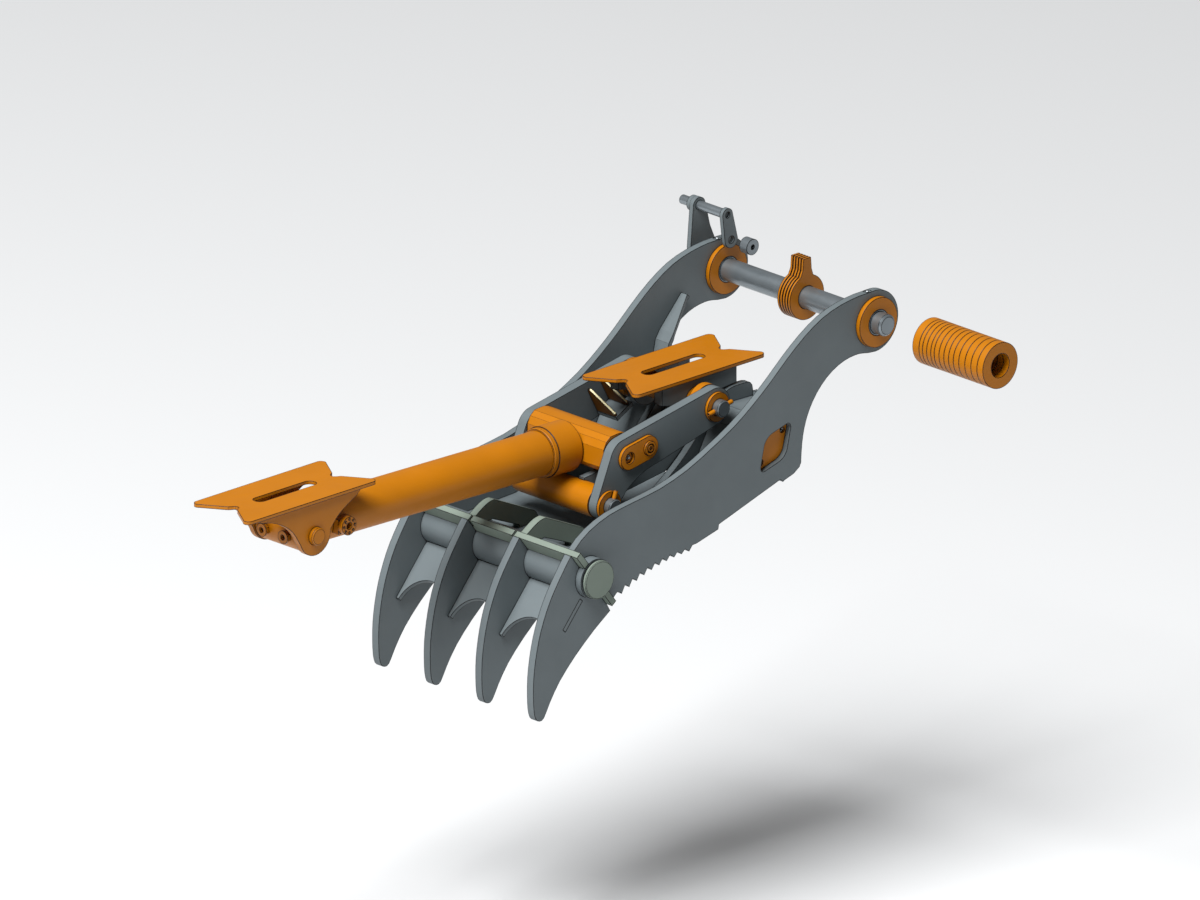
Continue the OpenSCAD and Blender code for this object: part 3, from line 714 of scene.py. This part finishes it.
@dataclass
class Rocker(SubAssembly):
    """Both rocker plates with their pins, washers, spring pins, stub pins and stop."""

    body: ClassVar[Body] = Body.ROCKER
    nodes: ClassVar[dict[str, Finish]] = {
        "rocker_near": Finish.GREY, "rocker_far": Finish.GREY, "stop_pad": Finish.GREY,
        # The wedge stop takes the orange with painted shade and a painted highlight.
        "wedge_stop": Finish.ORANGE_SHADED_HIGHLIT, "rocker_pin": Finish.STEEL, "lower_pin": Finish.STEEL,
        "washers": Finish.ORANGE, "roll_pins": Finish.ORANGE, "stub_pins": Finish.ORANGE}
    # x, z and tilt in degrees of the spring pins' middles.
    pins: tuple[Point, ...] = ((-380.0, -125.0, 11.0), (-703.0, -270.0, 70.0))
    roll_y: float = 158.5
    roll_r: float = 5.0
    roll_bore: float = 3.2
    roll_length: float = 73.0
    roll_end_cut: float = 0.9
    roll_end_length: float = 1.4
    slot_half: float = 14.0
    nipple_y: float = 144.0
    flag_boss: Pair = (-587.4, -165.4)
    flag_y: float = 154.0
    flag_screw: SocketScrew = SocketScrew(shank_r=4.0, neck=0.5, head_r=8.0, height=5.5, key=8.0)

    def spring_pins(self) -> None:
        """Replaces the plain cross pins by slotted ones."""
        sketch = Sketch()
        half = self.roll_length / 2
        ring = slotted_outline(self.roll_r, self.roll_bore, self.slot_half)
        end = slotted_outline(self.roll_r - self.roll_end_cut, self.roll_bore, self.slot_half)
        layers = [(0.0, end), (self.roll_end_length, ring),
                  (self.roll_length - self.roll_end_length, ring), (self.roll_length, end)]
        for x, z, tilt in self.pins:
            way = (math.cos(math.radians(tilt)), 0.0, math.sin(math.radians(tilt)))
            for side in (-1, 1):
                foot = (x - way[0] * half, side * self.roll_y, z - way[2] * half)
                sketch.stack(layers, foot, way)
        pins = sketch.piece("slotted_spring_pins", self.body, Finish.ORANGE)
        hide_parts("roll_pins")

    def build(self) -> None:
        """Fits the spring pins, the screws of the flags and the nipples of the stub pins."""
        self.spring_pins()
        for side, end in ((-1, "near"), (1, "far")):
            screw = Sketch()
            at = (self.flag_boss[0], side * self.flag_y, self.flag_boss[1])
            self.flag_screw.draw(screw, at, (0, side, 0))
            screw.piece("flag_screw_" + end, self.body, Finish.ORANGE)
            nipple = Sketch()
            foot = (HEAD_PIN[0], side * self.nipple_y, HEAD_PIN[1])
            GreaseNipple().draw(nipple, foot, (0, side, 0))
            nipple.piece("stub_nipple_" + end, self.body, Finish.ZINC)


@dataclass
class DragLink(SubAssembly):
    """The drag link: two plates between two hubs."""

    body: ClassVar[Body] = Body.LINK
    nodes: ClassVar[dict[str, Finish]] = {
        "link_plates": Finish.GREY, "link_hub": Finish.ORANGE, "ear_hub": Finish.ORANGE,
        "hub_core": Finish.STEEL}


@dataclass
class PistonRod(SubAssembly):
    """The chromed rod with its crosshead."""

    body: ClassVar[Body] = Body.PISTON
    nodes: ClassVar[dict[str, Finish]] = {
        "piston_rod": Finish.CHROME, "crosshead": Finish.ORANGE}


@dataclass
class Cylinder(SubAssembly):
    """The barrel with its eye, gland and ports."""

    body: ClassVar[Body] = Body.CYLINDER
    nodes: ClassVar[dict[str, Finish]] = {
        "barrel": Finish.ORANGE, "barrel_eye": Finish.ORANGE, "eye_core": Finish.STEEL,
        "gland": Finish.ORANGE, "rear_ports": Finish.ORANGE, "side_port": Finish.ORANGE}
    gland_stop: float = 47.5
    lip_depth: float = 3.0
    lip_shoulder: float = 0.4
    lip_height: float = 1.6
    lip_inner: float = 28.3
    lip_slope: float = 1.6
    lip_relief: float = 0.4
    lip_outer: float = 35.0
    lip_points: int = 96

    def build(self) -> None:
        """Fits the wiper lip in the mouth of the gland."""
        dx, dz = HEAD_PIN[0] - BASE_PIN[0], HEAD_PIN[1] - BASE_PIN[1]
        length = math.hypot(dx, dz)
        way = (dx / length, 0.0, dz / length)
        reach = length - self.gland_stop
        foot = (BASE_PIN[0] + way[0] * reach, 0.0, BASE_PIN[1] + way[2] * reach)
        section = ((-self.lip_depth, self.lip_outer), (self.lip_shoulder, self.lip_outer),
                   (self.lip_height, self.lip_inner + self.lip_slope),
                   (self.lip_height, self.lip_inner),
                   (-self.lip_depth, self.lip_inner + self.lip_relief))
        sketch = Sketch()
        sketch.stack([(height, round_outline(radius, self.lip_points))
                      for height, radius in section], foot, way, closed=True)
        sketch.piece("rod_wiper", self.body, Finish.SEAL)


@dataclass
class RearBracket(SubAssembly):
    """Weld-on bracket that carries the rocker."""

    body: ClassVar[Body] = Body.STICK
    nodes: ClassVar[dict[str, Finish]] = {
        "rear_base": Finish.ORANGE, "rear_bracket": Finish.GREY, "rear_hub": Finish.ORANGE}


@dataclass
class FrontBracket(SubAssembly):
    """Weld-on bracket that carries the cylinder's base pin."""

    body: ClassVar[Body] = Body.STICK
    nodes: ClassVar[dict[str, Finish]] = {
        "front_base": Finish.ORANGE, "front_ears": Finish.ORANGE, "front_pin": Finish.ORANGE}


@dataclass
class MainPin(SubAssembly):
    """The main pin with its flag, its keeper link and the loose shims."""

    body: ClassVar[Body] = Body.STICK
    nodes: ClassVar[dict[str, Finish]] = {
        "main_pin": Finish.STEEL, "pin_flag": Finish.GREY, "flag_rod": Finish.STEEL,
        "keeper_link": Finish.GREY, "threaded_boss": Finish.STEEL, "tab_shim_set": Finish.ORANGE,
        "ring_shim_set": Finish.ORANGE}
    boss_centre: Pair = (-7.0, 74.0)
    boss_y: Pair = (129.0, 152.0)
    thread_r: float = 4.7
    thread_depth: float = 0.5
    thread_pitch: float = 1.75
    thread_points: int = 24
    steps_per_turn: int = 8
    end_gap: float = 0.5
    bore_r: float = 5.15

    def ridge(self, height: float) -> Outline:
        """Outline of the thread at one height.

        Args:
            height: Height above the boss's foot.

        Returns:
            The points, anticlockwise.
        """
        outline = []
        for i in range(self.thread_points):
            turn = i / self.thread_points
            wave = math.cos(math.tau * (height / self.thread_pitch - turn))
            radius = self.thread_r + self.thread_depth * wave / 2
            outline.append((radius * math.cos(math.tau * turn), radius * math.sin(math.tau * turn)))
        return outline

    def build(self) -> None:
        """Cuts the thread of the loose boss, as a sleeve inside its bore."""
        low, high = self.boss_y
        span = high - low - 2 * self.end_gap
        steps = int(span / self.thread_pitch * self.steps_per_turn)
        heights = [self.end_gap + span * k / steps for k in range(steps + 1)]
        wall = round_outline(self.bore_r, self.thread_points)
        layers = [(height, self.ridge(height)) for height in reversed(heights)]
        layers += [(self.end_gap, wall), (high - low - self.end_gap, wall)]
        sketch = Sketch()
        at = (self.boss_centre[0], low, self.boss_centre[1])
        sketch.stack(layers, at, (0, 1, 0), closed=True)
        sketch.piece("boss_thread", self.body, Finish.STEEL)


# ---------------------------------------------------------------- studio


@dataclass
class Studio:
    """Pale floor, one soft lamp, pale air and the camera at the photograph's angle."""

    azimuth: float = -43.86
    elevation: float = 19.89
    pixels: int = 1200
    pixels_per_mm: float = 0.4653
    right_shift: float = -0.4227
    up_shift: float = -0.3363
    distance: float = 6.0
    clip_end: float = 50.0
    floor_z: float = -1.25
    floor_half: float = 30.0
    floor_shade: str = "CECFD0"
    aim: Point = (-0.8, 0.0, -0.2)
    key_way: Point = (-0.53, -0.1, 0.84)
    key_reach: float = 16.0
    key_size: float = 9.0
    key_watts: float = 5700.0
    air: Colour = (1.0, 1.0, 1.0, 1.0)
    air_strength: float = 0.22

    def camera(self) -> None:
        """Sets up the parallel camera."""
        a, e = math.radians(self.azimuth), math.radians(self.elevation)
        back = Vector((math.sin(a) * math.cos(e), -math.cos(a) * math.cos(e), math.sin(e)))
        right = Vector((math.cos(a), math.sin(a), 0.0))
        up = back.cross(right)
        data = bpy.data.cameras.new("camera")
        data.type = "ORTHO"
        data.ortho_scale = self.pixels / self.pixels_per_mm * MM
        data.clip_end = self.clip_end
        cam = bpy.data.objects.new("camera", data)
        cam.rotation_mode = "QUATERNION"
        cam.rotation_quaternion = (-back).to_track_quat("-Z", "Y")
        cam.location = right * self.right_shift + up * self.up_shift + back * self.distance
        bpy.context.scene.collection.objects.link(cam)
        bpy.context.scene.camera = cam

    def floor(self) -> None:
        """Lays the plain pale floor."""
        half = self.floor_half
        corners = ((-half, -half), (half, -half), (half, half), (-half, half))
        mesh = bpy.data.meshes.new("floor")
        mesh.from_pydata([(x, y, self.floor_z) for x, y in corners], [], [(0, 1, 2, 3)])
        mat = bpy.data.materials.new("floor_card")
        mat.use_nodes = True
        shader = mat.node_tree.nodes["Principled BSDF"]
        shader.inputs["Base Color"].default_value = linear(self.floor_shade)
        shader.inputs["Roughness"].default_value = 1.0
        shader.inputs["Specular IOR Level"].default_value = 0.0
        mesh.materials.append(mat)
        plane = bpy.data.objects.new("floor", mesh)
        bpy.context.scene.collection.objects.link(plane)

    def lamp(self, name: str, place: Point, size: float, watts: float) -> None:
        """Hangs one soft square lamp aimed at the part.

        Args:
            name: Lamp name.
            place: Where it hangs.
            size: Side of the lamp.
            watts: Power.
        """
        data = bpy.data.lights.new(name, "AREA")
        data.size, data.energy = size, watts
        obj = bpy.data.objects.new(name, data)
        obj.location = place
        obj.rotation_mode = "QUATERNION"
        obj.rotation_quaternion = (Vector(self.aim) - Vector(place)).to_track_quat("-Z", "Y")
        bpy.context.scene.collection.objects.link(obj)

    def build(self) -> None:
        """Builds the whole studio."""
        scene = bpy.context.scene
        scene.view_settings.view_transform = "Standard"
        world = bpy.data.worlds.new("studio_air")
        world.use_nodes = True
        sky = world.node_tree.nodes["Background"]
        sky.inputs["Color"].default_value = self.air
        sky.inputs["Strength"].default_value = self.air_strength
        scene.world = world
        self.floor()
        x, y, z = (a + self.key_reach * w for a, w in zip(self.aim, self.key_way))
        self.lamp("key", (x, y, z), self.key_size, self.key_watts)
        self.camera()


def main() -> None:
    """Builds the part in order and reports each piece."""
    logging.basicConfig(level=logging.INFO, format="%(name)s: %(message)s")
    Studio().build()
    groups = (SidePlates(), TineHead(), DeckAndEars(), Rocker(), DragLink(), PistonRod(),
              Cylinder(), RearBracket(), FrontBracket(), MainPin())
    for group in groups:
        group.dress()
        group.build()


if __name__ == "__main__":
    main()
